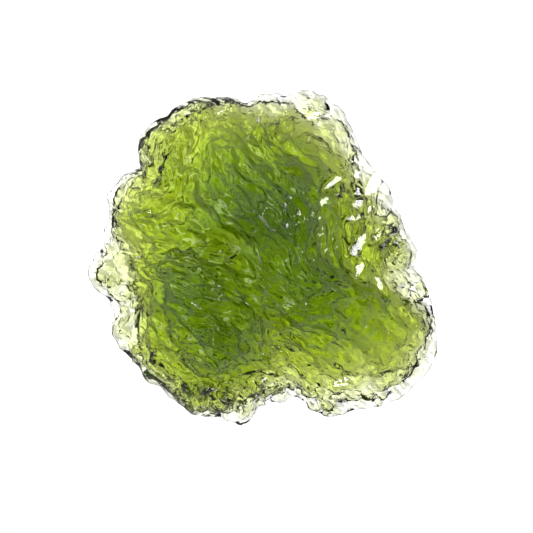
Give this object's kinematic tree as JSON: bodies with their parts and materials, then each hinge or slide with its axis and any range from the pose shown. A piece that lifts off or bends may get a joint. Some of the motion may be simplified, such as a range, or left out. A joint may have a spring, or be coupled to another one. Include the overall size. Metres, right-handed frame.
{
  "type": "moldavite",
  "caption": "Natural etched tektite glass, a thick disc with furrowed faces drawn out to a thin chipped rim, lying on a small flat spot.",
  "frame": {"origin": "middle of the small flat spot that the stone rests on", "axes": "+Z out of the broad face that is up in the picture, +X to the right and +Y up across that face"},
  "size_m": [0.0307, 0.0294, 0.0103],
  "materials": {
    "moldavite_glass": "clear bottle-green natural glass with an etched, glossy skin, paler where it is thin"
  },
  "bodies": {
    "root": {"moldavite": "moldavite_glass"}
  },
  "joints": []
}
